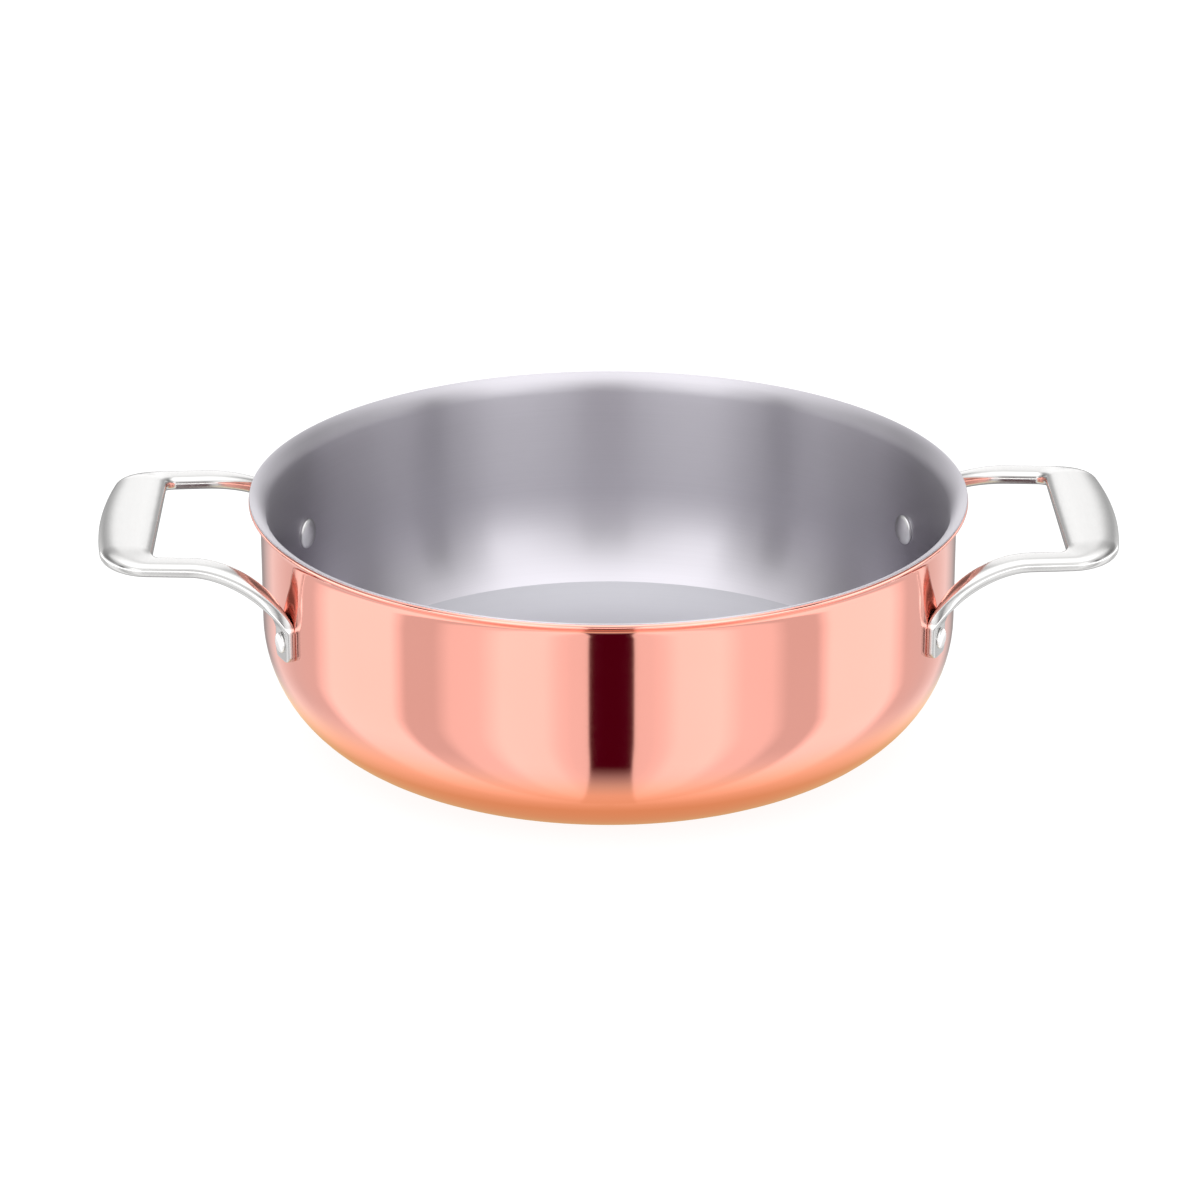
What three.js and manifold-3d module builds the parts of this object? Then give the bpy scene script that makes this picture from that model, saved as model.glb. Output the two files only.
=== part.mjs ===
// A low copper casserole: a drawn copper pot lined with stainless steel, with two cast
// stainless loop handles, each held to the wall by two solid rivets.
// Millimetres, +Z up. The origin is the centre of the base, and the handles lie along X.
import * as THREE from "three";
import { mergeVertices } from "three/addons/utils/BufferGeometryUtils.js";
import Module from "manifold-3d";

const wasm = await Module();
wasm.setup();

// Pot body
const WALL_RADIUS = 135.5; // outside of the straight wall
const WALL_STRAIGHT = 42.2; // height of the straight wall, from the base round to the lip
const BASE_ROUND = 50; // outside radius of the turn from the base into the wall
const COPPER_SHEET = 1.8; // thickness of the copper
const LINING_SHEET = 0.4; // thickness of the steel
const BOND_GAP = 0.05; // between the copper and the steel
const LIP_BEND = 5.4; // outside radius of the flared pouring lip
const LIP_TURN = 80; // degrees that the lip turns outwards

// Rivets
const RIVET_RISE = 10; // axis above the lower end of the straight wall
const SHANK = 5.6; // diameter
const HEAD = 12; // diameter of the low dome inside the pot
const HEAD_HEIGHT = 1.9;
const TAIL = 8; // diameter of the peened end on the foot
const TAIL_HEIGHT = 1.7;

// Handle feet, on the wall
const FOOT_ANGLE = 25; // degrees round the wall from the middle of the handle to a foot
const FOOT_WIDTH = 12.5;
const FOOT_THICKNESS = 2.8;
const FOOT_DROP = 7.2; // lower end of the foot below the rivet's axis
const FOOT_RISE = 4.8; // where the arm leaves the wall, above the rivet's axis
const FOOT_CORNER = 3; // radius of the foot's lower corners
const FOOT_TRIM = 1.5; // metal cut from the back of the foot to fit it to the wall

// Handle arms, from the feet out to the grip
const ARM_WIDTH = 11.5;
const NECK_WIDTH = 9; // at the narrowest, just above the foot
const ARM_THICKNESS = 6;
const ARM_CLIMB = 12; // pull of the curve up the wall, off the foot
const ARM_LEAN = 3; // pull of the curve away from the wall, off the foot
const ARM_SWEEP = 16; // pull of the curve into the level run
const ARM_LEVEL = 15; // level run before the grip
const ARM_SPLAY = 3; // degrees that the level runs open towards the pot
const ARM_SPACING = 94.5; // between the middles of the arms where they meet the grip

// Handle grip, with its underside level with the arms'
const GRIP_DROP = 16.2; // underside of the grip below the top of the lip
const GRIP_GAP = 35; // room for fingers, from the lip to the grip
const GRIP_WIDTH = 23;
const GRIP_THICKNESS = 8;
const GRIP_BOW = 250; // radius of the grip's outer edge
const INNER_CORNER = 4; // radius of the loop's inner corners
const OUTER_CORNER = 20; // radius of the loop's outer corners

// Clearances
const SEAT_GAP = 0.3; // under the feet, and under the heads and tails of the rivets
const BORE_GAP = 0.3; // round a rivet's shank, and round its tail in the spot face
const CUT_REACH = 10; // how far a cutter runs past the faces that it cuts

// Fineness of the facets
const TURN_STEPS = 64; // round the pot
const ROUND_STEPS = 8; // along the base round
const LIP_STEPS = 4; // along the lip
const RIVET_SIDES = 16;
const DOME_STEPS = 4;
const RING_STEPS = 20; // round the handle's section
const CORNER_STEPS = 8; // round a corner of the loop
const ARM_STEPS = 10; // along an arm
const GRIP_STEPS = 3; // along half the grip
const FOOT_STEPS = 3; // round a foot's lower corner

// Section shapes: 2 is an ellipse, and larger is squarer
const FOOT_SQUARENESS = 6;
const ARM_SQUARENESS = 2.6;
const GRIP_SQUARENESS = 2.5;

// Shares of an arm's curve, from the foot, at which its section has turned and is narrowest
const TWIST_SHARE = 0.7;
const NECK_SHARE = 0.4;

const { degToRad, lerp, smoothstep } = THREE.MathUtils;

// Places that follow from the sizes above
const sheet = COPPER_SHEET + BOND_GAP + LINING_SHEET;
const liningRadius = WALL_RADIUS - sheet;
const lipTurn = degToRad(LIP_TURN);
const lipStart = BASE_ROUND + WALL_STRAIGHT;
const lipTop = lipStart + (LIP_BEND + sheet) * Math.sin(lipTurn);
const lipRadius = WALL_RADIUS + LIP_BEND * (1 - Math.cos(lipTurn));
const footAngle = degToRad(FOOT_ANGLE);
const rivetLevel = BASE_ROUND + RIVET_RISE;
const footBack = WALL_RADIUS + SEAT_GAP;
const footFace = footBack + FOOT_THICKNESS;
const underside = lipTop - GRIP_DROP;
const gripInner = lipRadius + GRIP_GAP;
const gripOuter = gripInner + GRIP_WIDTH;
const armHeading = -degToRad(ARM_SPLAY);
const armAcross = armHeading + Math.PI / 2;
const armEnd = new THREE.Vector3(gripInner, ARM_SPACING / 2, 0);

const copper = new THREE.MeshStandardMaterial({ color: 0xf2bda6, roughness: 0.16, metalness: 1 });
const satinSteel = new THREE.MeshStandardMaterial({ color: 0xc8c8c6, roughness: 0.34, metalness: 1 });
const polishedSteel = new THREE.MeshStandardMaterial({ color: 0xdededc, roughness: 0.14, metalness: 1 });

// A closed geometry as a solid that can be cut.
function toSolid(geometry) {
  const bare = geometry.clone();
  bare.deleteAttribute("normal");
  bare.deleteAttribute("uv");
  const merged = mergeVertices(bare);
  const vertProperties = new Float32Array(merged.attributes.position.array);
  const triVerts = new Uint32Array(merged.index.array);
  return new wasm.Manifold(new wasm.Mesh({ numProp: 3, vertProperties, triVerts }));
}

// A cut solid as a geometry again.
function toGeometry(solid) {
  const { vertProperties, triVerts } = solid.getMesh();
  const geometry = new THREE.BufferGeometry();
  geometry.setAttribute("position", new THREE.BufferAttribute(vertProperties, 3));
  geometry.setIndex(new THREE.BufferAttribute(triVerts, 1));
  geometry.computeVertexNormals();
  return geometry;
}

// A profile of (radius, height) points turned about Z.
function revolve(profile) {
  return new THREE.LatheGeometry(profile, TURN_STEPS).rotateX(Math.PI / 2);
}

// The pot's section at a depth inside its outer face, from the axis up to the lip's edge.
function wallLine(depth) {
  const line = [new THREE.Vector2(0, depth)];
  for (let i = 0; i <= ROUND_STEPS; i++) {
    const turn = (Math.PI / 2) * (i / ROUND_STEPS);
    const radius = BASE_ROUND - depth;
    const out = WALL_RADIUS - BASE_ROUND + radius * Math.sin(turn);
    line.push(new THREE.Vector2(out, BASE_ROUND - radius * Math.cos(turn)));
  }
  for (let i = 0; i <= LIP_STEPS; i++) {
    const turn = lipTurn * (i / LIP_STEPS);
    const radius = LIP_BEND + depth;
    const out = WALL_RADIUS + LIP_BEND - radius * Math.cos(turn);
    line.push(new THREE.Vector2(out, lipStart + radius * Math.sin(turn)));
  }
  return line;
}

// One sheet of the pot, between two depths inside the outer face.
function potSheet(outerDepth, innerDepth) {
  return toSolid(revolve([...wallLine(outerDepth), ...wallLine(innerDepth).reverse()]));
}

// The space that the pot fills, with the feet's clearance round it.
function potEnvelope() {
  const line = wallLine(-SEAT_GAP);
  return toSolid(revolve([...line, new THREE.Vector2(0, line.at(-1).y)]));
}

// A round cutter on a rivet's axis, between two distances from the pot's axis.
function rivetCutter(angle, radius, from, to) {
  const cutter = new THREE.CylinderGeometry(radius, radius, to - from, RIVET_SIDES);
  cutter.translate(0, (from + to) / 2, 0);
  cutter.rotateZ(angle - Math.PI / 2);
  cutter.translate(0, 0, rivetLevel);
  return toSolid(cutter);
}

// The hole for a rivet's shank, right through the wall and the foot.
function rivetBore(angle) {
  return rivetCutter(angle, SHANK / 2 + BORE_GAP, liningRadius - CUT_REACH, footFace + CUT_REACH);
}

// The flat that is milled into the foot for a rivet's tail.
function spotFace(angle) {
  return rivetCutter(angle, TAIL / 2 + BORE_GAP, footFace, footFace + CUT_REACH);
}

// A domed rivet along Y, at its distances from the pot's axis.
function rivetGeometry() {
  const flatRadius = liningRadius * Math.cos(Math.PI / TURN_STEPS);
  const headSeat = Math.sqrt(flatRadius ** 2 - (HEAD / 2) ** 2) - SEAT_GAP;
  const tailSeat = footFace + SEAT_GAP;
  const profile = [];
  for (let i = 0; i <= DOME_STEPS; i++) {
    const turn = (Math.PI / 2) * (i / DOME_STEPS);
    profile.push(new THREE.Vector2((HEAD / 2) * Math.sin(turn), headSeat - HEAD_HEIGHT * Math.cos(turn)));
  }
  profile.push(new THREE.Vector2(SHANK / 2, headSeat));
  profile.push(new THREE.Vector2(SHANK / 2, tailSeat));
  for (let i = 0; i <= DOME_STEPS; i++) {
    const turn = (Math.PI / 2) * (i / DOME_STEPS);
    profile.push(new THREE.Vector2((TAIL / 2) * Math.cos(turn), tailSeat + TAIL_HEIGHT * Math.sin(turn)));
  }
  return new THREE.LatheGeometry(profile, RIVET_SIDES);
}

// A unit vector in plan.
function heading(angle) {
  return new THREE.Vector3(Math.cos(angle), Math.sin(angle), 0);
}

// The sections of a foot, from its lower end up to where the arm leaves the wall.
// A section has its middle, its two half axes as vectors, and how square it is.
function footSections() {
  const thickness = FOOT_THICKNESS + FOOT_TRIM;
  const sections = [];
  for (let i = 0; i <= FOOT_STEPS; i++) {
    const turn = (Math.PI / 2) * (i / FOOT_STEPS);
    const level = rivetLevel - FOOT_DROP + FOOT_CORNER * (1 - Math.cos(turn));
    const half = FOOT_WIDTH / 2 - FOOT_CORNER * (1 - Math.sin(turn));
    sections.push({
      middle: heading(footAngle).multiplyScalar(footFace - thickness / 2).setZ(level),
      across: heading(footAngle + Math.PI / 2).multiplyScalar(half),
      through: heading(footAngle).multiplyScalar(-thickness / 2),
      squareness: FOOT_SQUARENESS,
    });
  }
  return sections;
}

// The sections of an arm, which climbs off the foot, leans out and levels off.
function armSections(foot) {
  const level = underside + ARM_THICKNESS / 2;
  const run = heading(armHeading);
  const start = foot.middle.clone().setZ(rivetLevel + FOOT_RISE);
  const lean = heading(footAngle).multiplyScalar(ARM_LEAN).setZ(ARM_CLIMB);
  const end = armEnd.clone().addScaledVector(run, -ARM_LEVEL).setZ(level);
  const sweep = end.clone().addScaledVector(run, -ARM_SWEEP);
  const climb = new THREE.CubicBezierCurve3(start, start.clone().add(lean), sweep, end);
  const footAcross = foot.across.clone().normalize();
  const footThickness = foot.through.length() * 2;
  const sections = [];
  for (let i = 0; i <= ARM_STEPS; i++) {
    const t = i / ARM_STEPS;
    const tangent = climb.getTangent(t);
    const side = new THREE.Vector3(-tangent.y, tangent.x, 0).normalize();
    const across = footAcross.clone().lerp(side, smoothstep(t, 0, TWIST_SHARE)).normalize();
    const narrowed = smoothstep(t, 0, NECK_SHARE);
    const neckWidth = lerp(FOOT_WIDTH, NECK_WIDTH, narrowed);
    const width = lerp(neckWidth, ARM_WIDTH, smoothstep(t, NECK_SHARE, 1));
    sections.push({
      middle: climb.getPoint(t),
      through: tangent.cross(across).setLength(lerp(footThickness, ARM_THICKNESS, narrowed) / 2),
      across: across.multiplyScalar(width / 2),
      squareness: lerp(FOOT_SQUARENESS, ARM_SQUARENESS, narrowed),
    });
  }
  return sections;
}

// The sections of a corner and half the grip, from the end of an arm to the XZ plane.
// They span from the loop's inner edge to its outer edge.
function gripSections() {
  const side = heading(armAcross);
  const armLine = armEnd.dot(side);
  const innerCentre = new THREE.Vector3(gripInner - INNER_CORNER, 0, 0);
  const innerOffset = armLine - ARM_WIDTH / 2 - INNER_CORNER;
  innerCentre.y = (innerOffset - innerCentre.x * side.x) / side.y;
  const bowCentre = new THREE.Vector3(gripOuter - GRIP_BOW, 0, 0);
  const outerOffset = armLine + ARM_WIDTH / 2 - OUTER_CORNER - bowCentre.dot(side);
  const outerRun = Math.sqrt((GRIP_BOW - OUTER_CORNER) ** 2 - outerOffset ** 2);
  const outerCentre = bowCentre.clone().addScaledVector(side, outerOffset);
  outerCentre.addScaledVector(heading(armHeading), outerRun);
  const bowAngle = Math.atan2(outerCentre.y, outerCentre.x - bowCentre.x);

  const spanned = (inner, outer, grown) => {
    const thickness = lerp(ARM_THICKNESS, GRIP_THICKNESS, grown);
    return {
      middle: inner.clone().add(outer).multiplyScalar(0.5).setZ(underside + thickness / 2),
      across: outer.clone().sub(inner).multiplyScalar(0.5),
      through: new THREE.Vector3(0, 0, thickness / 2),
      squareness: lerp(ARM_SQUARENESS, GRIP_SQUARENESS, grown),
    };
  };
  const sections = [];
  for (let i = 0; i <= CORNER_STEPS; i++) {
    const t = i / CORNER_STEPS;
    const inner = innerCentre.clone().addScaledVector(heading(lerp(armAcross, 0, t)), INNER_CORNER);
    const outer = outerCentre.clone().addScaledVector(heading(lerp(armAcross, bowAngle, t)), OUTER_CORNER);
    sections.push(spanned(inner, outer, smoothstep(t, 0, 1)));
  }
  for (let i = 1; i <= GRIP_STEPS; i++) {
    const t = i / GRIP_STEPS;
    const inner = new THREE.Vector3(gripInner, lerp(innerCentre.y, 0, t), 0);
    const outer = bowCentre.clone().addScaledVector(heading(lerp(bowAngle, 0, t)), GRIP_BOW);
    sections.push(spanned(inner, outer, 1));
  }
  return sections;
}

// The same sections on the other side of the XZ plane, from the grip back to the other foot.
function mirrored(sections) {
  const flip = new THREE.Vector3(1, -1, 1);
  return sections.map((section) => ({
    middle: section.middle.clone().multiply(flip),
    across: section.across.clone().multiply(flip),
    through: section.through.clone().multiply(flip),
    squareness: section.squareness,
  })).reverse();
}

// A superellipse of points round a section.
function sectionRing(section) {
  const power = 2 / section.squareness;
  const ring = [];
  for (let i = 0; i < RING_STEPS; i++) {
    const turn = 2 * Math.PI * (i / RING_STEPS);
    const across = Math.sign(Math.cos(turn)) * Math.abs(Math.cos(turn)) ** power;
    const through = Math.sign(Math.sin(turn)) * Math.abs(Math.sin(turn)) ** power;
    const point = section.middle.clone();
    point.addScaledVector(section.across, across);
    point.addScaledVector(section.through, through);
    ring.push(point);
  }
  return ring;
}

// A closed skin over a row of sections, with a flat cap at each end.
function loft(sections) {
  const points = sections.flatMap(sectionRing);
  const index = [];
  for (let row = 0; row + 1 < sections.length; row++) {
    for (let i = 0; i < RING_STEPS; i++) {
      const next = (i + 1) % RING_STEPS;
      const a = row * RING_STEPS + i;
      const b = row * RING_STEPS + next;
      index.push(a, b, b + RING_STEPS, a, b + RING_STEPS, a + RING_STEPS);
    }
  }
  const lastRow = (sections.length - 1) * RING_STEPS;
  const firstCap = points.push(sections[0].middle) - 1;
  const lastCap = points.push(sections.at(-1).middle) - 1;
  for (let i = 0; i < RING_STEPS; i++) {
    const next = (i + 1) % RING_STEPS;
    index.push(firstCap, next, i);
    index.push(lastCap, lastRow + i, lastRow + next);
  }
  const geometry = new THREE.BufferGeometry().setFromPoints(points);
  geometry.setIndex(index);
  return geometry;
}

// A cast handle: a strap that rises off each foot, levels out and widens into the grip.
function handleGeometry() {
  const foot = footSections();
  const half = [...foot, ...armSections(foot.at(-1)), ...gripSections()];
  let casting = toSolid(loft([...half, ...mirrored(half).slice(1)]));
  casting = casting.subtract(potEnvelope());
  for (const angle of [footAngle, -footAngle]) {
    casting = casting.subtract(rivetBore(angle)).subtract(spotFace(angle));
  }
  return toGeometry(casting);
}

const sides = [
  { name: "right", turn: 0 },
  { name: "left", turn: Math.PI },
];

let shell = potSheet(0, COPPER_SHEET);
let lining = potSheet(COPPER_SHEET + BOND_GAP, sheet);
for (const { turn } of sides) {
  for (const angle of [turn + footAngle, turn - footAngle]) {
    shell = shell.subtract(rivetBore(angle));
    lining = lining.subtract(rivetBore(angle));
  }
}

const casserole = new THREE.Group();

const copperShell = new THREE.Mesh(toGeometry(shell), copper);
copperShell.name = "copper_shell";
casserole.add(copperShell);

const steelLining = new THREE.Mesh(toGeometry(lining), satinSteel);
steelLining.name = "steel_lining";
casserole.add(steelLining);

const handleShape = handleGeometry();
const rivetShape = rivetGeometry();
for (const { name, turn } of sides) {
  const side = new THREE.Group();
  side.rotation.z = turn;
  const handle = new THREE.Mesh(handleShape, polishedSteel);
  handle.name = `${name}_handle`;
  side.add(handle);
  for (const angle of [footAngle, -footAngle]) {
    const rivet = new THREE.Mesh(rivetShape, polishedSteel);
    const place = Math.sin(turn + angle) > 0 ? "rear" : "front";
    rivet.name = `${name}_${place}_rivet`;
    rivet.rotation.z = angle - Math.PI / 2;
    rivet.position.z = rivetLevel;
    side.add(rivet);
  }
  casserole.add(side);
}

export default casserole;
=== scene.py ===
# A low copper casserole with a steel lining and two riveted loop handles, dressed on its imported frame.
import math

import bpy
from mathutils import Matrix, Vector


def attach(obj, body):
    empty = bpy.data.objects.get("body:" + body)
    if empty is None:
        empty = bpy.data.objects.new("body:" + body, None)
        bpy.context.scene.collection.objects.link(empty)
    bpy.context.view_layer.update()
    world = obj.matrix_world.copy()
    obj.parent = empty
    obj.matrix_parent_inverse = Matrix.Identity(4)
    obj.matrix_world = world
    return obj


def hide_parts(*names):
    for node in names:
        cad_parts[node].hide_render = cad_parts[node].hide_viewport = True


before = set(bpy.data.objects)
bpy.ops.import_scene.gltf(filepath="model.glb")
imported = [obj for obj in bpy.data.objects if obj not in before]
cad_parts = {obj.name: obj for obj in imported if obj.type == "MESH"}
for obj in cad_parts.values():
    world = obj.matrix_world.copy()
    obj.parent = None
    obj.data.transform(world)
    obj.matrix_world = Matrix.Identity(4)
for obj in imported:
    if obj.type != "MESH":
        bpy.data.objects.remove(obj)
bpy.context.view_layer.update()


# Copper shell
# One disc of copper, drawn into a low bowl with a flat base and a straight wall, flared at the lip
# and buffed on a lathe, so that faint polishing lines run round it.
WALL_RADIUS = 0.1355
WALL_STRAIGHT = 0.0422
BASE_ROUND = 0.050
LIP_BEND = 0.0054
LIP_TURN = math.radians(80)
LIP_START = BASE_ROUND + WALL_STRAIGHT
COPPER_SHEET = 0.0018
COPPER_EDGE = 0.0007  # radius of the lip's lower edge
ROUND_STEPS = 24
WALL_STEPS = 8
LIP_STEPS = 12
EDGE_STEPS = 5
TURN_STEPS = 256
COPPER = (0.95, 0.435, 0.36, 1)
COPPER_DEEP = (0.94, 0.41, 0.33, 1)
COPPER_ROUGHNESS = 0.035
COPPER_SPREAD = 0.35  # how much further it scatters across the polishing lines than along them
ACROSS_LINES = 0.25  # of a turn, from the way round the pot
BUFFING_REACH = 0.7
BUFFING_DENSITY = 900.0
BUFFING_BUMP = 0.03
BUFFING_DEPTH = 0.0001
BUFFING_ROUGHNESS = 0.04
LINE_DETAIL = 4.0
LINE_ROUGHNESS = 0.6
HAZE_SCALE = 22.0
HAZE_DETAIL = 3.0
HAZE_ROUGHNESS = 0.03
AXIS_GAP = 1e-5  # keeps the division by the radius off zero
WELD = 1e-6  # points closer than this become one


class Field:
    """A node's output that takes part in Python expressions: each operator adds its Math node."""

    def __init__(self, tree, output=None):
        self.tree = tree
        self.output = output

    def node(self, kind, settings=(), sockets=(), output=0):
        """A new node, with its settings set first and then its sockets' values or links."""
        node = self.tree.nodes.new(kind)
        for name, value in dict(settings).items():
            if name == "stops":
                ramp = node.color_ramp.elements
                while len(ramp) < len(value):
                    ramp.new(1.0)
                for element, (place, level) in zip(ramp, value):
                    element.position = place
                    element.color = level if isinstance(level, tuple) else (level, level, level, 1)
            else:
                setattr(node, name, value)
        for name, value in dict(sockets).items():
            if isinstance(value, Field):
                self.tree.links.new(value.output, node.inputs[name])
            else:
                node.inputs[name].default_value = value
        return Field(self.tree, node.outputs[output] if len(node.outputs) else None)

    def other(self, output):
        """Another output of the same node."""
        return Field(self.tree, self.output.node.outputs[output])

    def math(self, operation, first, second=0.0):
        """A Math node on one or two values."""
        return self.node("ShaderNodeMath", {"operation": operation}, {0: first, 1: second})

    def ramp(self, low, high, start=0.0, end=1.0):
        """A smooth step from start to end, as this value goes from low to high."""
        sockets = {0: self, 1: low, 2: high, 3: start, 4: end}
        return self.node("ShaderNodeMapRange", {"interpolation_type": "SMOOTHSTEP"}, sockets)

    def blend(self, first, second):
        """One colour turned into another by this share."""
        sockets = {"Factor": self, 6: first, 7: second}
        return self.node("ShaderNodeMix", {"data_type": "RGBA"}, sockets, output=2)

    def into(self, shader, socket):
        """Feeds this value to a shader."""
        self.tree.links.new(self.output, shader.inputs[socket])

    def __add__(self, value):
        return self.math("ADD", self, value)

    def __radd__(self, value):
        return self.math("ADD", value, self)

    def __sub__(self, value):
        return self.math("SUBTRACT", self, value)

    def __rsub__(self, value):
        return self.math("SUBTRACT", value, self)

    def __mul__(self, value):
        return self.math("MULTIPLY", self, value)

    def __rmul__(self, value):
        return self.math("MULTIPLY", value, self)

    def __truediv__(self, value):
        return self.math("DIVIDE", self, value)


def new_finish(name):
    """A material, the start of its node tree and its shader."""
    finish = bpy.data.materials.new(name)
    finish.use_nodes = True
    return finish, Field(finish.node_tree), finish.node_tree.nodes["Principled BSDF"]


def turned_coordinates(tree):
    """Round the pot's axis as two smooth values, along its section from the base's middle to the lip, and
    the point itself."""
    place = tree.node("ShaderNodeTexCoord", output="Object")
    x = tree.node("ShaderNodeSeparateXYZ", sockets={0: place}, output="X")
    y, z = x.other("Y"), x.other("Z")
    radius = tree.math("SQRT", x * x + y * y) + AXIS_GAP
    return x / radius, y / radius, radius + z, place


def turned_lines(tree, east, north, along, reach, density):
    """Fine lines round the pot: noise with few cells to a radian and many to a metre of the section."""
    sockets = {"X": east * reach, "Y": north * reach, "Z": along * density}
    vector = tree.node("ShaderNodeCombineXYZ", sockets=sockets)
    sockets = {"Vector": vector, "Scale": 1.0, "Detail": LINE_DETAIL, "Roughness": LINE_ROUGHNESS}
    return tree.node("ShaderNodeTexNoise", sockets=sockets)


def lip_point(radius, turn):
    """A point of the section in the lip, at a radius from the bend's centre."""
    return WALL_RADIUS + LIP_BEND - radius * math.cos(turn), LIP_START + radius * math.sin(turn)


def lip_edge(radius, corner, side):
    """The rounded edge between a face of the lip and the end of the sheet. side is 1 below and -1 above."""
    middle = radius + side * corner
    slack = math.asin(corner / middle)
    turn = LIP_TURN - slack
    r, z = lip_point(middle, turn)
    points = []
    for i in range(EDGE_STEPS + 1):
        a = (math.pi / 2 - side * slack) * i / EDGE_STEPS
        face, end = side * math.cos(a), math.sin(a)
        points.append((
            r + corner * (face * math.cos(turn) + end * math.sin(turn)),
            z + corner * (end * math.cos(turn) - face * math.sin(turn)),
        ))
    return turn, points


def wall_line(depth, lip_end):
    """The pot's section at a depth inside its outer face, from the axis to the lip."""
    radius = BASE_ROUND - depth
    line = [(0.0, depth)]
    for i in range(ROUND_STEPS + 1):
        turn = math.pi / 2 * i / ROUND_STEPS
        out, down = radius * math.sin(turn), radius * math.cos(turn)
        line.append((WALL_RADIUS - BASE_ROUND + out, BASE_ROUND - down))
    for i in range(1, WALL_STEPS):
        line.append((WALL_RADIUS - depth, BASE_ROUND + WALL_STRAIGHT * i / WALL_STEPS))
    for i in range(LIP_STEPS + 1):
        line.append(lip_point(LIP_BEND + depth, lip_end * i / LIP_STEPS))
    return line


def turned_tree():
    """Geometry Nodes that turn a closed profile of (radius, 0, height) points about Z."""
    tree = bpy.data.node_groups.new("turned", "GeometryNodeTree")
    for name, kind in (("Profile", "Geometry"), ("Turn Steps", "Int"), ("Finish", "Material")):
        tree.interface.new_socket(name, in_out="INPUT", socket_type="NodeSocket" + kind)
    tree.interface.new_socket("Geometry", in_out="OUTPUT", socket_type="NodeSocketGeometry")
    nodes = Field(tree)
    profile = nodes.node("NodeGroupInput", output="Profile")
    steps, finish = profile.other("Turn Steps"), profile.other("Finish")
    count = nodes.node("GeometryNodeAttributeDomainSize", sockets={0: profile}, output="Point Count")
    sockets = {"Vertices X": steps + 1, "Vertices Y": count}
    skin = nodes.node("GeometryNodeMeshGrid", sockets=sockets, output="Mesh")
    index = nodes.node("GeometryNodeInputIndex")
    column = nodes.math("FLOOR", (index + 0.5) / count)
    place = nodes.node("GeometryNodeInputPosition")
    settings = {"data_type": "FLOAT_VECTOR", "domain": "POINT"}
    sockets = {"Geometry": profile, "Value": place, "Index": index - column * count}
    along = nodes.node("GeometryNodeSampleIndex", settings, sockets)
    sockets = {"Vector": along, "Angle": column * (2 * math.pi) / steps}
    turned = nodes.node("ShaderNodeVectorRotate", {"rotation_type": "Z_AXIS"}, sockets)
    skin = nodes.node("GeometryNodeSetPosition", sockets={"Geometry": skin, "Position": turned})
    skin = nodes.node("GeometryNodeMergeByDistance", sockets={"Geometry": skin, "Distance": WELD})
    skin = nodes.node("GeometryNodeSetShadeSmooth", sockets={"Geometry": skin})
    skin = nodes.node("GeometryNodeRealizeInstances", sockets={"Geometry": skin})
    skin = nodes.node("GeometryNodeSetMaterial", sockets={"Geometry": skin, "Material": finish})
    nodes.node("NodeGroupOutput", sockets={"Geometry": skin})
    return tree


def made_by_tree(name, profile, tree, values):
    """An object with the mesh that a Geometry Nodes tree makes of a profile, and no modifier left on it."""
    line = bpy.data.meshes.new(name + "_profile")
    line.from_pydata([(r, 0.0, z) for r, z in profile], [(i, i + 1) for i in range(len(profile) - 1)], [])
    piece = bpy.data.objects.new(name, line)
    bpy.context.scene.collection.objects.link(piece)
    modifier = piece.modifiers.new("made", "NODES")
    modifier.node_group = tree
    for socket in tree.interface.items_tree:
        if socket.name in values:
            modifier[socket.identifier] = values[socket.name]
    bpy.context.view_layer.update()
    mesh = bpy.data.meshes.new_from_object(piece.evaluated_get(bpy.context.evaluated_depsgraph_get()))
    piece.modifiers.clear()
    piece.data = mesh
    return piece


polished_copper, tree, shader = new_finish("polished_copper")
east, north, along, place = turned_coordinates(tree)
buffing = turned_lines(tree, east, north, along, BUFFING_REACH, BUFFING_DENSITY)
sockets = {"Vector": place, "Scale": HAZE_SCALE, "Detail": HAZE_DETAIL}
haze = tree.node("ShaderNodeTexNoise", sockets=sockets)
sockets = {"Strength": BUFFING_BUMP, "Distance": BUFFING_DEPTH, "Height": buffing}
bump = tree.node("ShaderNodeBump", sockets=sockets)
haze.blend(COPPER, COPPER_DEEP).into(shader, "Base Color")
roughness = COPPER_ROUGHNESS + buffing * BUFFING_ROUGHNESS + haze * HAZE_ROUGHNESS
roughness.into(shader, "Roughness")
bump.into(shader, "Normal")
shader.inputs["Metallic"].default_value = 1.0
shader.inputs["Anisotropic"].default_value = COPPER_SPREAD
shader.inputs["Anisotropic Rotation"].default_value = ACROSS_LINES

turned = turned_tree()
lip_end, lower_edge = lip_edge(LIP_BEND, COPPER_EDGE, 1)
copper_profile = wall_line(0.0, lip_end) + lower_edge[1:] + wall_line(COPPER_SHEET, LIP_TURN)[::-1]
copper_shell = made_by_tree(
    "copper_body", copper_profile, turned, {"Turn Steps": TURN_STEPS, "Finish": polished_copper})
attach(copper_shell, "root")
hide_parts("copper_shell")


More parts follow.
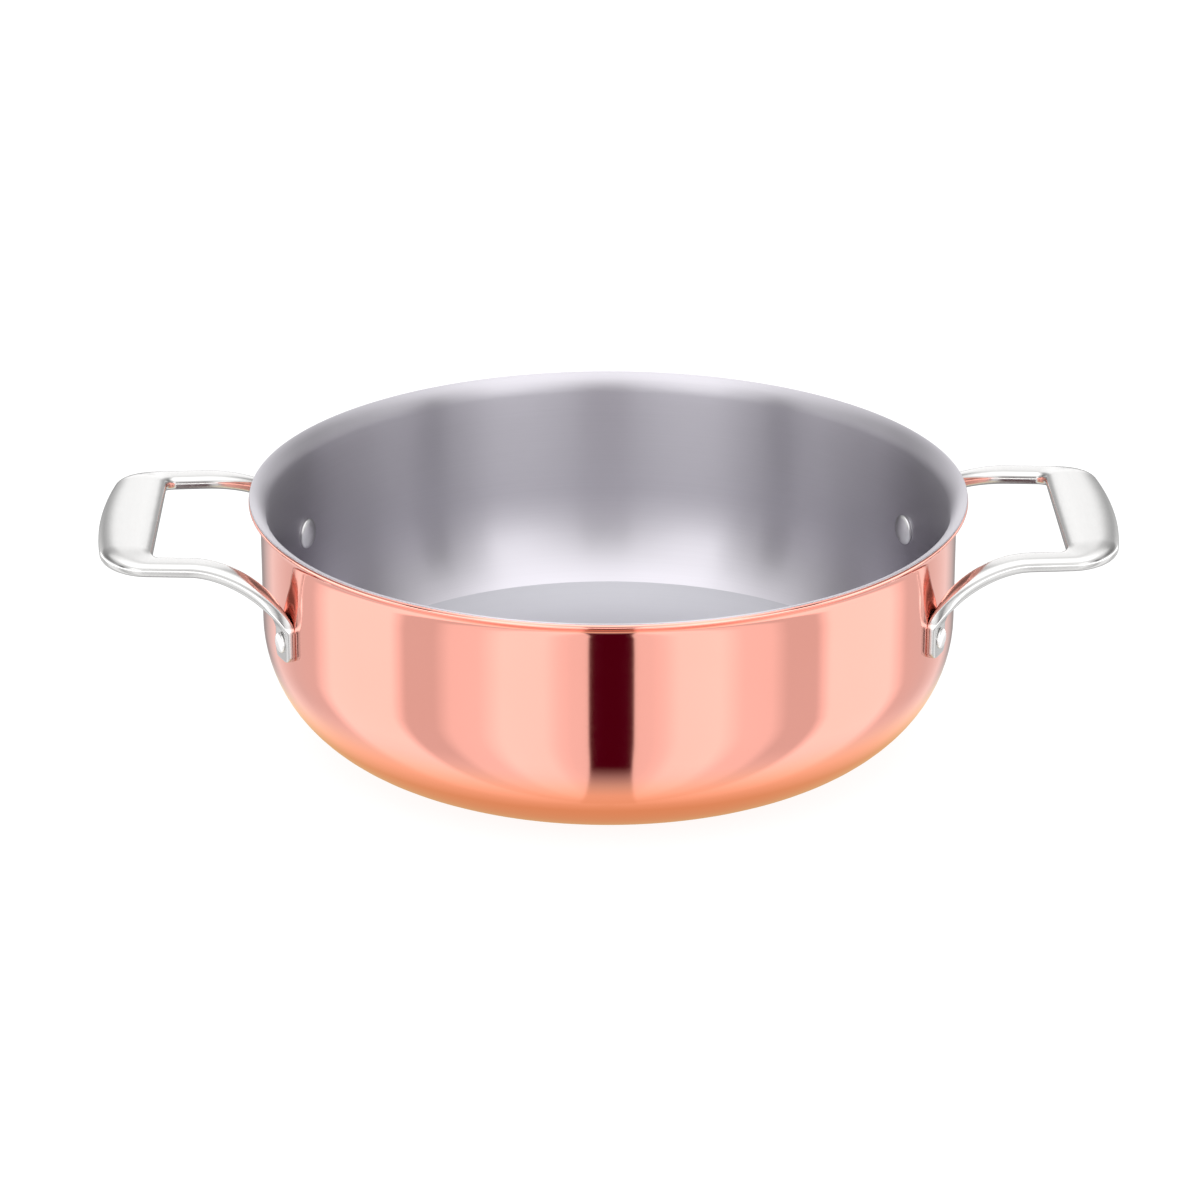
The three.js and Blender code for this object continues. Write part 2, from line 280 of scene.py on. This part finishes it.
# Steel lining
# A thin sheet of stainless steel, bonded to the inside of the copper before it is drawn, so that it
# covers the whole inside and the top of the lip. It is brushed round the pot to a satin finish.
LINING_SHEET = 0.0004
BOND_GAP = 0.00005
LINING_EDGE = 0.00025
FLOOR_STEPS = 11  # of the base round's steps, up to where the floor's own finish ends
STEEL_SATIN = (0.625, 0.605, 0.65, 1)
STEEL_FLOOR = (0.56, 0.557, 0.592, 1)
WALL_ROUGHNESS = (0.29, 0.38)  # low on the wall, and high on it
FLOOR_ROUGHNESS = (0.60, 0.60)
ROUGHNESS_LEVELS = (0.022, 0.072)  # heights between which the roughness changes
WALL_SPREAD = 1.0
FLOOR_SPREAD = 0.2
BRUSHING_REACH = 1.6
BRUSHING_DENSITY = 2600.0
BRUSHING_BUMP = 0.02
BRUSHING_DEPTH = 0.0001
BRUSHING_ROUGHNESS = 0.02
BRUSHING_SHADE = 0.93


def shaded(colour, share):
    """A darker tone of a colour."""
    return tuple(channel * share for channel in colour[:3]) + (1,)


def satin_finish(name, colour, roughness, spread):
    """Stainless steel brushed round the pot. roughness is low down and high up, and spread is how much
    further the steel scatters across the brushing lines than along them."""
    finish, tree, shader = new_finish(name)
    east, north, along, place = turned_coordinates(tree)
    brushing = turned_lines(tree, east, north, along, BRUSHING_REACH, BRUSHING_DENSITY)
    sockets = {"Strength": BRUSHING_BUMP, "Distance": BRUSHING_DEPTH, "Height": brushing}
    bump = tree.node("ShaderNodeBump", sockets=sockets)
    brushing.blend(colour, shaded(colour, BRUSHING_SHADE)).into(shader, "Base Color")
    height = tree.node("ShaderNodeSeparateXYZ", sockets={0: place}, output="Z")
    low, high = (value - BRUSHING_ROUGHNESS / 2 for value in roughness)
    rough = height.ramp(*ROUGHNESS_LEVELS, low, high) + brushing * BRUSHING_ROUGHNESS
    rough.into(shader, "Roughness")
    bump.into(shader, "Normal")
    shader.inputs["Metallic"].default_value = 1.0
    shader.inputs["Anisotropic"].default_value = spread
    shader.inputs["Anisotropic Rotation"].default_value = ACROSS_LINES
    return finish


satin_wall = satin_finish("satin_steel_wall", STEEL_SATIN, WALL_ROUGHNESS, WALL_SPREAD)
satin_floor = satin_finish("satin_steel_floor", STEEL_FLOOR, FLOOR_ROUGHNESS, FLOOR_SPREAD)

sheet = COPPER_SHEET + BOND_GAP + LINING_SHEET
lip_end, upper_edge = lip_edge(LIP_BEND + sheet, LINING_EDGE, -1)
lining_profile = (
    wall_line(COPPER_SHEET + BOND_GAP, LIP_TURN) + upper_edge[:0:-1] + wall_line(sheet, lip_end)[::-1])
steel_lining = made_by_tree(
    "lining", lining_profile, turned, {"Turn Steps": TURN_STEPS, "Finish": satin_wall})
steel_lining.data.materials.clear()
for finish in (satin_wall, satin_floor):
    steel_lining.data.materials.append(finish)
floor_level = wall_line(sheet, lip_end)[1 + FLOOR_STEPS][1]
for face in steel_lining.data.polygons:
    face.material_index = 1 if face.center.z < floor_level else 0
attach(steel_lining, "root")
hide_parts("steel_lining")


# Loop handles
# Each handle is one stainless steel casting, ground and polished: a flat foot on the wall, an arm
# that climbs off it and levels out, and a wide grip with a bowed outer edge. The two are alike.
SEAT_GAP = 0.0003
FOOT_SEAT = 0.00002  # the foot's back to the wall
FOOT_ANGLE = math.radians(25)
FOOT_WIDTH = 0.0125
FOOT_THICKNESS = 0.0028
FOOT_DROP = 0.0072
FOOT_RISE = 0.0048
FOOT_CORNER = 0.003
FOOT_EDGE = 0.0007
FOOT_TRIM = 0.0015
RIVET_RISE = 0.010
RIVET_LEVEL = BASE_ROUND + RIVET_RISE
ARM_WIDTH = 0.0115
NECK_WIDTH = 0.009
ARM_THICKNESS = 0.006
ARM_CLIMB = 0.012
ARM_LEAN = 0.003
ARM_SWEEP = 0.016
ARM_LEVEL = 0.015
ARM_HEADING = math.radians(-3)
ARM_SPACING = 0.0945
GRIP_DROP = 0.0162
GRIP_GAP = 0.035
GRIP_WIDTH = 0.023
GRIP_THICKNESS = 0.008
GRIP_BOW = 0.250
INNER_CORNER = 0.004
OUTER_CORNER = 0.020
FOOT_SQUARENESS, ARM_SQUARENESS, GRIP_SQUARENESS = 6.0, 2.6, 2.5
TWIST_SHARE, NECK_SHARE = 0.7, 0.4
FOOT_STEPS, ARM_STEPS, CORNER_STEPS, GRIP_STEPS, RING_STEPS = 14, 44, 28, 14, 48
STEEL_POLISHED = (0.60, 0.595, 0.59, 1)
HANDLE_ROUGHNESS = 0.16
RIPPLE_SCALE = 90.0
RIPPLE_DETAIL = 2.0
GRINDING_SCALE = (1500.0, 220.0, 1500.0)
GRINDING_DETAIL = 3.0
GRINDING_HEIGHT = 0.02  # to the ripple's 1
GRINDING_ROUGHNESS = 0.05
GRINDING_SHADE = 0.94
POLISH_BUMP = 0.15
POLISH_DEPTH = 0.0004

FOOT_FACE = WALL_RADIUS + SEAT_GAP + FOOT_THICKNESS
LIP_TOP = LIP_START + (LIP_BEND + sheet) * math.sin(LIP_TURN)
GRIP_UNDERSIDE = LIP_TOP - GRIP_DROP
GRIP_INNER = WALL_RADIUS + LIP_BEND * (1 - math.cos(LIP_TURN)) + GRIP_GAP
GRIP_OUTER = GRIP_INNER + GRIP_WIDTH


def mixed(first, second, share):
    """A value on the way from the first to the second."""
    return first + (second - first) * share


def eased(value, low, high):
    """A smooth step from 0 to 1, as a value goes from low to high."""
    t = min(max((value - low) / (high - low), 0.0), 1.0)
    return t * t * (3 - 2 * t)


def heading(angle, length=1.0, height=0.0):
    """A vector that points at an angle round the pot's axis."""
    return Vector((math.cos(angle) * length, math.sin(angle) * length, height))


def foot_sections():
    """Sections from the foot's lower end upwards: each is a middle, two half axes and a squareness."""
    thickness = FOOT_THICKNESS + FOOT_TRIM
    sections = []
    for i in range(FOOT_STEPS + 1):
        turn = math.pi / 2 * i / FOOT_STEPS
        height = FOOT_CORNER * (1 - math.cos(turn))
        rolled = max(1 - height / FOOT_EDGE, 0.0)
        inset = FOOT_EDGE * (1 - math.sqrt(1 - rolled * rolled))
        half = FOOT_WIDTH / 2 - FOOT_CORNER * (1 - math.sin(turn))
        level = RIVET_LEVEL - FOOT_DROP + height
        sections.append((
            heading(FOOT_ANGLE, FOOT_FACE - thickness / 2, level),
            heading(FOOT_ANGLE + math.pi / 2, half - inset),
            heading(FOOT_ANGLE, inset - thickness / 2),
            FOOT_SQUARENESS,
        ))
    return sections


def arm_sections(foot):
    """Sections of the arm, which climbs off the foot, leans out and levels off."""
    run = heading(ARM_HEADING)
    start = Vector((foot[0].x, foot[0].y, RIVET_LEVEL + FOOT_RISE))
    pull = start + heading(FOOT_ANGLE, ARM_LEAN, ARM_CLIMB)
    end = Vector((GRIP_INNER, ARM_SPACING / 2, GRIP_UNDERSIDE + ARM_THICKNESS / 2)) - run * ARM_LEVEL
    sweep = end - run * ARM_SWEEP
    foot_across = foot[1].normalized()
    foot_thickness = foot[2].length * 2
    sections = []
    for i in range(ARM_STEPS + 1):
        t = i / ARM_STEPS
        s = 1 - t
        middle = start * s**3 + pull * (3 * s * s * t) + sweep * (3 * s * t * t) + end * t**3
        tangent = (pull - start) * (s * s) + (sweep - pull) * (2 * s * t) + (end - sweep) * (t * t)
        tangent.normalize()
        side = Vector((-tangent.y, tangent.x, 0)).normalized()
        across = foot_across.lerp(side, eased(t, 0, TWIST_SHARE)).normalized()
        narrowed = eased(t, 0, NECK_SHARE)
        width = mixed(mixed(FOOT_WIDTH, NECK_WIDTH, narrowed), ARM_WIDTH, eased(t, NECK_SHARE, 1))
        thickness = mixed(foot_thickness, ARM_THICKNESS, narrowed)
        through = tangent.cross(across).normalized() * thickness / 2
        squareness = mixed(FOOT_SQUARENESS, ARM_SQUARENESS, narrowed)
        sections.append((middle, across * width / 2, through, squareness))
    return sections


def spanned(inner, outer, grown):
    """A level section of the loop between its inner and its outer edge."""
    thickness = mixed(ARM_THICKNESS, GRIP_THICKNESS, grown)
    middle = (inner + outer) / 2
    middle.z = GRIP_UNDERSIDE + thickness / 2
    across = (outer - inner) / 2
    return middle, across, Vector((0, 0, thickness / 2)), mixed(ARM_SQUARENESS, GRIP_SQUARENESS, grown)


def grip_sections():
    """Sections of a corner of the loop and half the grip, up to the handle's middle."""
    across = ARM_HEADING + math.pi / 2
    side = heading(across)
    arm_line = Vector((GRIP_INNER, ARM_SPACING / 2, 0)).dot(side)
    inner_x = GRIP_INNER - INNER_CORNER
    inner_y = (arm_line - ARM_WIDTH / 2 - INNER_CORNER - inner_x * side.x) / side.y
    inner_middle = Vector((inner_x, inner_y, 0))
    bow_middle = Vector((GRIP_OUTER - GRIP_BOW, 0, 0))
    offset = arm_line + ARM_WIDTH / 2 - OUTER_CORNER - bow_middle.dot(side)
    run = math.sqrt((GRIP_BOW - OUTER_CORNER) ** 2 - offset**2)
    outer_middle = bow_middle + side * offset + heading(ARM_HEADING) * run
    bow = math.atan2(outer_middle.y, outer_middle.x - bow_middle.x)
    sections = []
    for i in range(CORNER_STEPS + 1):
        t = i / CORNER_STEPS
        inner = inner_middle + heading(mixed(across, 0, t), INNER_CORNER)
        outer = outer_middle + heading(mixed(across, bow, t), OUTER_CORNER)
        sections.append(spanned(inner, outer, eased(t, 0, 1)))
    for i in range(1, GRIP_STEPS + 1):
        t = i / GRIP_STEPS
        inner = Vector((GRIP_INNER, mixed(inner_y, 0, t), 0))
        sections.append(spanned(inner, bow_middle + heading(mixed(bow, 0, t), GRIP_BOW), 1))
    return sections


def section_ring(section):
    """Points round a section, kept off the pot's wall."""
    middle, across, through, squareness = section
    ring = []
    for i in range(RING_STEPS):
        turn = 2 * math.pi * i / RING_STEPS
        c, s = math.cos(turn), math.sin(turn)
        point = middle + across * math.copysign(abs(c) ** (2 / squareness), c)
        point += through * math.copysign(abs(s) ** (2 / squareness), s)
        radius = math.hypot(point.x, point.y)
        seat = max((WALL_RADIUS + FOOT_SEAT) / radius, 1.0)
        ring.append(Vector((point.x * seat, point.y * seat, point.z)))
    return ring


def handle_mesh(name, side):
    """The casting's skin. side is 1 for the right handle and -1 for the left one, turned half round."""
    foot = foot_sections()
    arm = arm_sections(foot[-1])
    half = [section_ring(s) for s in foot + arm + grip_sections()[1:]]
    flip = Vector((1, -1, 1))
    rings = half + [[point * flip for point in ring] for ring in half[-2::-1]]
    points = [Vector((side * p.x, side * p.y, p.z)) for ring in rings for p in ring]
    faces = []
    for row in range(len(rings) - 1):
        for i in range(RING_STEPS):
            a, b = row * RING_STEPS + i, row * RING_STEPS + (i + 1) % RING_STEPS
            faces.append((a, b, b + RING_STEPS, a + RING_STEPS))
    faces.append(tuple(range(RING_STEPS - 1, -1, -1)))
    faces.append(tuple(range(len(points) - RING_STEPS, len(points))))
    mesh = bpy.data.meshes.new(name)
    mesh.from_pydata(points, [], faces)
    mesh.polygons.foreach_set("use_smooth", [True] * len(mesh.polygons))
    return mesh


def polished_finish(name, colour, roughness):
    """Stainless steel that is ground along Y and polished, with the faint waves of a hand-held wheel."""
    finish, tree, shader = new_finish(name)
    place = tree.node("ShaderNodeTexCoord", output="Object")
    sockets = {"Vector": place, "Scale": RIPPLE_SCALE, "Detail": RIPPLE_DETAIL}
    ripple = tree.node("ShaderNodeTexNoise", sockets=sockets)
    stretched = tree.node("ShaderNodeMapping", sockets={"Vector": place, "Scale": GRINDING_SCALE})
    sockets = {"Vector": stretched, "Scale": 1.0, "Detail": GRINDING_DETAIL}
    grinding = tree.node("ShaderNodeTexNoise", sockets=sockets)
    height = ripple + grinding * GRINDING_HEIGHT
    sockets = {"Strength": POLISH_BUMP, "Distance": POLISH_DEPTH, "Height": height}
    bump = tree.node("ShaderNodeBump", sockets=sockets)
    grinding.blend(colour, shaded(colour, GRINDING_SHADE)).into(shader, "Base Color")
    (roughness + grinding * GRINDING_ROUGHNESS).into(shader, "Roughness")
    bump.into(shader, "Normal")
    shader.inputs["Metallic"].default_value = 1.0
    return finish


polished_steel = polished_finish("polished_steel", STEEL_POLISHED, HANDLE_ROUGHNESS)

for name, side in (("right", 1), ("left", -1)):
    handle = bpy.data.objects.new(name + "_loop", handle_mesh(name + "_loop", side))
    bpy.context.scene.collection.objects.link(handle)
    handle.data.materials.append(polished_steel)
    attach(handle, "root")
    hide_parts(name + "_handle")


# Rivets
# Solid stainless rivets go through the wall and the feet, two to a handle: a low domed head inside
# the pot, and a smaller tail that is peened over on the foot.
SHANK = 0.0056
HEAD = 0.012
HEAD_HEIGHT = 0.0019
HEAD_RIM = 0.0005  # straight side of the head, under its dome
TAIL = 0.008
TAIL_HEIGHT = 0.0017
TAIL_RIM = 0.0003
DOME_STEPS = 14
RIVET_SIDES = 48
RIVET_COUNT = 4
# the rivets' steel is the handles' stainless steel painted much lighter: a painted highlight on the heads
STEEL_RIVET_HIGHLIGHT = (0.90, 0.895, 0.89, 1)
RIVET_ROUGHNESS = 0.3


def dome(diameter, height, rim, seat, side):
    """Half the outline of a domed end, from its seat to its top. side is the way that the dome points."""
    points = [(diameter / 2, seat)]
    for i in range(DOME_STEPS + 1):
        turn = math.pi / 2 * i / DOME_STEPS
        rise = rim + (height - rim) * math.sin(turn)
        points.append((diameter / 2 * math.cos(turn), seat + side * rise))
    return points


def rivets_tree():
    """Geometry Nodes that turn one rivet and set copies of it round the pot, two to each handle."""
    tree = bpy.data.node_groups.new("rivets", "GeometryNodeTree")
    inputs = (("Profile", "Geometry"), ("Sides", "Int"), ("Count", "Int"), ("Level", "Float"),
              ("Angle", "Float"), ("Finish", "Material"))
    for name, kind in inputs:
        tree.interface.new_socket(name, in_out="INPUT", socket_type="NodeSocket" + kind)
    tree.interface.new_socket("Geometry", in_out="OUTPUT", socket_type="NodeSocketGeometry")
    nodes = Field(tree)
    profile = nodes.node("NodeGroupInput", output="Profile")
    finish = profile.other("Finish")
    sockets = {"Profile": profile, "Turn Steps": profile.other("Sides"), "Finish": finish}
    rivet = nodes.node("GeometryNodeGroup", {"node_tree": turned}, sockets)
    level = nodes.node("ShaderNodeCombineXYZ", sockets={"Z": profile.other("Level")})
    places = nodes.node("GeometryNodePoints", sockets={"Count": profile.other("Count"), "Position": level})
    index = nodes.node("GeometryNodeInputIndex")
    handle = nodes.math("FLOOR", (index + 0.5) / 2.0)
    foot = 1 - 2 * (index - 2 * handle)
    angle = math.pi * handle + foot * profile.other("Angle")
    turn = nodes.node("ShaderNodeCombineXYZ", sockets={"Y": math.pi / 2, "Z": angle})
    sockets = {"Points": places, "Instance": rivet, "Rotation": turn}
    rivets = nodes.node("GeometryNodeInstanceOnPoints", sockets=sockets)
    rivets = nodes.node("GeometryNodeRealizeInstances", sockets={"Geometry": rivets})
    rivets = nodes.node("GeometryNodeSetMaterial", sockets={"Geometry": rivets, "Material": finish})
    nodes.node("NodeGroupOutput", sockets={"Geometry": rivets})
    return tree


head_seat = math.sqrt((WALL_RADIUS - sheet) ** 2 - (HEAD / 2) ** 2)
rivet_profile = (
    dome(HEAD, HEAD_HEIGHT, HEAD_RIM, head_seat, -1)[::-1]
    + [(SHANK / 2, head_seat), (SHANK / 2, FOOT_FACE)]
    + dome(TAIL, TAIL_HEIGHT, TAIL_RIM, FOOT_FACE, 1))
rivet_highlight_steel = polished_finish("rivet_highlight_steel", STEEL_RIVET_HIGHLIGHT, RIVET_ROUGHNESS)
values = {"Sides": RIVET_SIDES, "Count": RIVET_COUNT, "Level": RIVET_LEVEL, "Angle": FOOT_ANGLE,
          "Finish": rivet_highlight_steel}
rivets = made_by_tree("rivets", rivet_profile, rivets_tree(), values)
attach(rivets, "root")
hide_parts("left_front_rivet", "left_rear_rivet", "right_front_rivet", "right_rear_rivet")


# Studio
# A white table and a white room of soft panels, with dark gaps between them that show as bands in the
# polished metal. A warm card under the pot, seen only in the metal, glows with painted copper bounce light
# and painted shade, and lights the turn of its base.
TABLE_RADIUS = 8.0
TABLE_SHADE = (0.2, 0.2, 0.2, 1)
TABLE_LIGHT = 0.9
DROP = 0.0004  # of the card below the base, and of the table below the card
DISC_SIDES = 96
CARD_RADIUS = 0.180
CARD_FADE = 0.118  # radius from which the card thins out
CARD_LIGHT = 1.15
# The card's glow, at metres from the pot's axis: painted bounce light from the copper, and painted shade
# close to the base
CARD_PAINTED_BOUNCE = (
    (0.100, (0.60, 0.40, 0.20, 1)), (0.120, (0.68, 0.46, 0.24, 1)), (0.129, (0.86, 0.64, 0.40, 1)),
    (0.136, (1.0, 0.79, 0.54, 1)), (0.146, (1.0, 0.94, 0.74, 1)), (0.160, (1.0, 1.0, 0.95, 1)))
WHITE = (1, 1, 1, 1)
BLACK = (0, 0, 0, 1)
PANEL_LEVEL = 1.6
# Share of the panels' light, at degrees round from the front. The room is the same on its two sides
LOW_PANELS = (
    (0, 0.62), (13, 0.64), (17, 0.7), (22, 0.84), (36, 0.87), (44, 0.68), (54, 0.66), (60, 0.5),
    (71, 0.5), (77, 0.87), (105, 0.87), (115, 0.52), (130, 0.5), (148, 0.6), (164, 0.25), (180, 0.2))
HIGH_PANELS = (
    (0, 0.32), (7.2, 0.32), (9, 0.6), (18, 0.86), (30, 1.2), (41, 1.25), (47, 0.72), (57, 0.44), (72, 0.42),
    (82, 0.38), (104, 0.2), (124, 0.2), (150, 0.3), (160, 0.42), (165, 0.5), (170, 0.9), (180, 0.96))
# Where one light gives way to the next. Heights and widths are those of a direction whose length is 1
PANEL_SPLIT = (0.18, 0.34)  # heights, from the low panels to the high ones
FRONT_ENDS = (100, 90)  # degrees round, to where the gap and the seam stop
REAR_STARTS = (158, 166)  # degrees round to the rear panel, which reaches down to the table
REAR_FOOT = (-0.06, 0.02)
GAP = (0.045, 0.0, 0.007, 1)  # the dark between the two front panels
GAP_REACH = 0.141
GAP_EDGE = 0.005
GAP_TAPER = 0.06  # how much narrower it gets lower down
HORIZON = -0.06
HORIZON_FADE = (0.17, 0.06)  # heights from the horizon
HORIZON_ENDS = (150, 130)  # degrees round
HORIZON_LIGHT = (1.7, 1.7, 1.7, 1)
CEILING_FOOT = (0.55, 0.80)
CEILING_LIGHT = (0.7, 0.7, 0.7, 1)
SOFTBOX_LEAN = 0.85
SOFTBOX_REAR = (-0.03, 0.03)
SOFTBOX_SIDES = (0.65, 0.45)
SOFTBOX_FOOT = (0.5, 0.72)
SOFTBOX_LEVELS = (0.7, 0.97)
SOFTBOX_LIGHTS = (0.78, 1.3)  # at those levels
SEAM_ANGLE = math.radians(31.7)  # round the far wall, to where the seam between two panels shows in it
SEAM_EDGE = (0.09, 0.05)
SEAM_FOOT = (0.05, 0.12)
SEAM_TOP = (0.52, 0.40)
VIEW_REACH = 0.927  # cosine of the view's rise


def disc(name, radius, level):
    """A flat round stage piece."""
    turns = [2 * math.pi * i / DISC_SIDES for i in range(DISC_SIDES)]
    ring = [(radius * math.cos(turn), radius * math.sin(turn), level) for turn in turns]
    mesh = bpy.data.meshes.new(name)
    mesh.from_pydata(ring, [], [tuple(range(DISC_SIDES))])
    piece = bpy.data.objects.new(name, mesh)
    bpy.context.scene.collection.objects.link(piece)
    return piece


table = disc("table", TABLE_RADIUS, -2 * DROP)
white_table, tree, shader = new_finish("white_table")
shader.inputs["Base Color"].default_value = TABLE_SHADE
shader.inputs["Roughness"].default_value = 1.0
shader.inputs["Specular IOR Level"].default_value = 0.0
shader.inputs["Emission Color"].default_value = WHITE
shader.inputs["Emission Strength"].default_value = TABLE_LIGHT
table.data.materials.append(white_table)
table.visible_glossy = False

card = disc("warm_card", CARD_RADIUS, -DROP)
warm_card, tree, shader = new_finish("warm_card")
place = tree.node("ShaderNodeTexCoord", output="Object")
reach = tree.node("ShaderNodeVectorMath", {"operation": "LENGTH"}, {0: place}, output="Value")
stops = [(radius / CARD_RADIUS, bounce_glow) for radius, bounce_glow in CARD_PAINTED_BOUNCE]
# the card's glow: painted copper bounce light, darker close to the base as painted shade
bounce_glow = tree.node("ShaderNodeValToRGB", {"stops": stops}, {"Fac": reach / CARD_RADIUS})
bounce_glow.into(shader, "Emission Color")
reach.ramp(CARD_FADE, CARD_RADIUS, 1.0, 0.0).into(shader, "Alpha")
shader.inputs["Base Color"].default_value = BLACK
shader.inputs["Specular IOR Level"].default_value = 0.0
shader.inputs["Emission Strength"].default_value = CARD_LIGHT
card.data.materials.append(warm_card)
card.visible_camera = card.visible_diffuse = card.visible_shadow = False

world = bpy.data.worlds.new("studio")
bpy.context.scene.world = world
world.use_nodes = True
world.node_tree.nodes.clear()
tree = Field(world.node_tree)
way = tree.node("ShaderNodeTexCoord", output="Generated")
x = tree.node("ShaderNodeSeparateXYZ", sockets={0: way}, output="X")
y, z = x.other("Y"), x.other("Z")
aside = tree.math("ABSOLUTE", x)
half_turns = tree.math("ARCTAN2", aside, 0 - y) / math.pi
degrees = half_turns * 180
low, high = (
    tree.node("ShaderNodeValToRGB", {"stops": [(a / 180, v) for a, v in panels]}, {"Fac": half_turns})
    for panels in (LOW_PANELS, HIGH_PANELS))
front = degrees.ramp(*FRONT_ENDS)
gap = (aside - z * GAP_TAPER).ramp(GAP_REACH + GAP_EDGE, GAP_REACH - GAP_EDGE) * front
low = gap.blend(low, GAP)
rear = degrees.ramp(*REAR_STARTS) * z.ramp(*REAR_FOOT)
light = tree.math("MAXIMUM", z.ramp(*PANEL_SPLIT), rear).blend(low, high)
horizon = tree.math("ABSOLUTE", z - HORIZON).ramp(*HORIZON_FADE) * degrees.ramp(*HORIZON_ENDS)
light = horizon.blend(light, HORIZON_LIGHT)
light = z.ramp(*CEILING_FOOT).blend(light, CEILING_LIGHT)
softbox = (z * SOFTBOX_LEAN - y).ramp(*SOFTBOX_REAR) * aside.ramp(*SOFTBOX_SIDES) * z.ramp(*SOFTBOX_FOOT)
light = softbox.blend(light, z.ramp(*SOFTBOX_LEVELS, *SOFTBOX_LIGHTS))
across = aside * math.cos(SEAM_ANGLE) - (VIEW_REACH - y) * math.sin(SEAM_ANGLE)
seam = tree.math("ABSOLUTE", across).ramp(*SEAM_EDGE) * z.ramp(*SEAM_FOOT) * z.ramp(*SEAM_TOP) * front
light = seam.blend(light, BLACK)
panels = tree.node("ShaderNodeBackground", sockets={"Color": light, "Strength": PANEL_LEVEL})
backdrop = tree.node("ShaderNodeBackground", sockets={"Color": WHITE, "Strength": 1.0})
seen = tree.node("ShaderNodeLightPath", output="Is Camera Ray")
mixed_light = tree.node("ShaderNodeMixShader", sockets={0: seen, 1: panels, 2: backdrop})
tree.node("ShaderNodeOutputWorld", sockets={"Surface": mixed_light})
bpy.context.scene.view_settings.view_transform = "Standard"


# Camera
# The photograph's view: from the front, a little above the rim, through a long lens.
CAMERA_RISE = math.radians(22.06)
CAMERA_TURN = math.radians(-1.0)
CAMERA_DISTANCE = 1.799
CAMERA_AIM = Vector((0, 0, 0.050))
CAMERA_LENS = 137.13
CAMERA_SENSOR = 36.0
CAMERA_SHIFT = (-8.4, 6.7)  # pixels of the photograph
PHOTO_WIDTH = 1200
CLIP_END = 50.0

camera = bpy.data.objects.new("camera", bpy.data.cameras.new("camera"))
bpy.context.scene.collection.objects.link(camera)
level = math.cos(CAMERA_RISE)
back = Vector((math.sin(CAMERA_TURN) * level, -math.cos(CAMERA_TURN) * level, math.sin(CAMERA_RISE)))
camera.location = CAMERA_AIM + back * CAMERA_DISTANCE
camera.rotation_euler = back.to_track_quat("Z", "Y").to_euler()
camera.data.lens = CAMERA_LENS
camera.data.sensor_width = CAMERA_SENSOR
camera.data.shift_x, camera.data.shift_y = (shift / PHOTO_WIDTH for shift in CAMERA_SHIFT)
camera.data.clip_end = CLIP_END
bpy.context.scene.camera = camera
